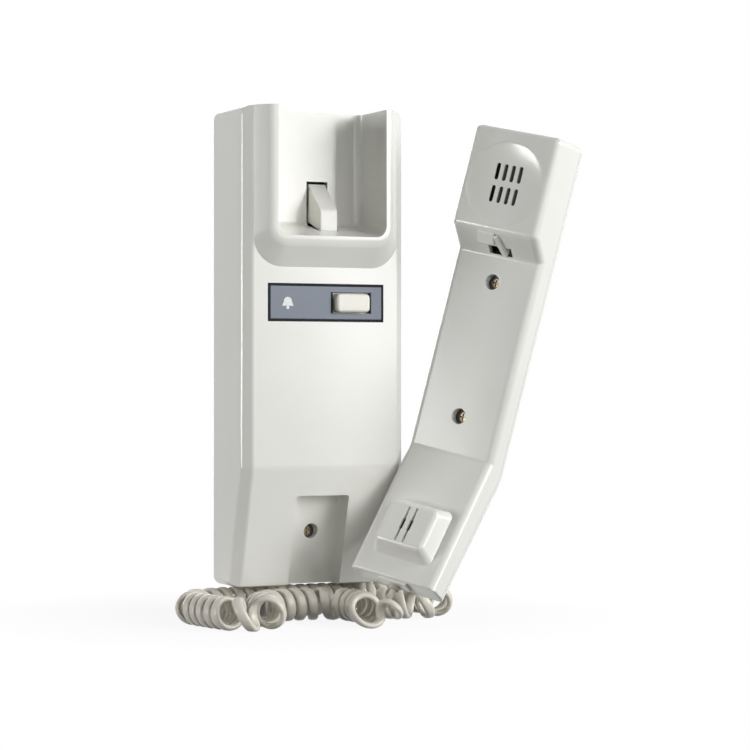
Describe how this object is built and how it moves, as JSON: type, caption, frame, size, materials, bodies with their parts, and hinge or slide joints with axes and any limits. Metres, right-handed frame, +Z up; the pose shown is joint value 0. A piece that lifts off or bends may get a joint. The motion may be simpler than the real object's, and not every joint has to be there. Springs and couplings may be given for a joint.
{
  "type": "audio intercom handset",
  "caption": "Wall intercom: an upright station with a cradle, hook lever and call button, a bent handset that lifts off, and a curly cord between them.",
  "frame": {"origin": "middle of the station's back face, on the wall", "axes": "+X to the viewer's right, +Y into the wall, +Z up along the station"},
  "size_m": [0.1725, 0.096, 0.2319],
  "materials": {
    "shell_plastic": "moulded off-white ABS, slightly glossy",
    "back_plastic": "matt light grey moulding",
    "plate_grey": "fine-grained blue-grey sheet",
    "button_plastic": "cream moulded button",
    "spring_steel": "bright spring wire",
    "switch_black": "black switch housing",
    "steel": "zinc-plated steel",
    "plunger_red": "red plunger",
    "board_green": "solder mask on laminate",
    "terminal_plastic": "dark terminal body",
    "brass": "plated brass",
    "cord_pvc": "cream-grey PVC",
    "boot_rubber": "pale soft PVC",
    "foam_rubber": "black soft rubber",
    "receiver_steel": "pressed steel can",
    "lead_pvc": "thin insulated wire"
  },
  "bodies": {
    "station": {"front_cover": "shell_plastic", "back_plate": "back_plastic", "name_plate": "plate_grey", "button_spring": "spring_steel", "call_switch": "switch_black", "hook_pin": "steel", "hook_spring": "spring_steel", "hook_switch": "switch_black", "circuit_board": "board_green", "board_components": "switch_black", "board_screws": "steel", "terminal_block": "terminal_plastic", "terminal_screws": "brass", "tone_buzzer": "switch_black", "cover_screw": "steel", "base_lead": "cord_pvc", "base_cord_boot": "boot_rubber", "curly_cord": "cord_pvc"},
    "call_button": {"call_button": "button_plastic"},
    "hook_lever": {"hook_lever": "shell_plastic"},
    "switch_plunger": {"switch_plunger": "plunger_red"},
    "handset": {"handset_front_shell": "shell_plastic", "handset_back_shell": "shell_plastic", "handset_screws": "steel", "receiver_gasket": "foam_rubber", "ear_receiver": "receiver_steel", "receiver_lead": "lead_pvc", "mic_boot": "foam_rubber", "microphone": "steel", "mic_lead": "lead_pvc", "handset_cord_boot": "boot_rubber"}
  },
  "joints": [
    {"name": "call_press", "type": "slide", "parent": "station", "child": "call_button", "axis": [0, 1, 0], "range_m": [0, 0.0018], "stiffness_N_per_m": 400, "springref_m": -0.002, "deforming": ["button_spring"]},
    {"name": "hook_press", "type": "hinge", "parent": "station", "child": "hook_lever", "pos_m": [0.0045, -0.0095, 0.0723], "axis": [1, 0, 0], "range_deg": [0, 10], "stiffness_Nm_per_rad": 0.02, "springref_deg": -11.46, "deforming": ["hook_spring"]},
    {"name": "plunger_press", "type": "slide", "parent": "station", "child": "switch_plunger", "axis": [0, 1, 0], "range_m": [0, 0.0022]},
    {"name": "handset_lift", "type": "slide", "parent": "station", "child": "handset", "axis": [0.2506, -0.3509, 0.9023], "range_m": [0, 0.06], "deforming": ["curly_cord"]}
  ],
  "couplings": [
    {"joint": "plunger_press", "follows": "hook_press", "m_per_rad": 0.01146}
  ]
}
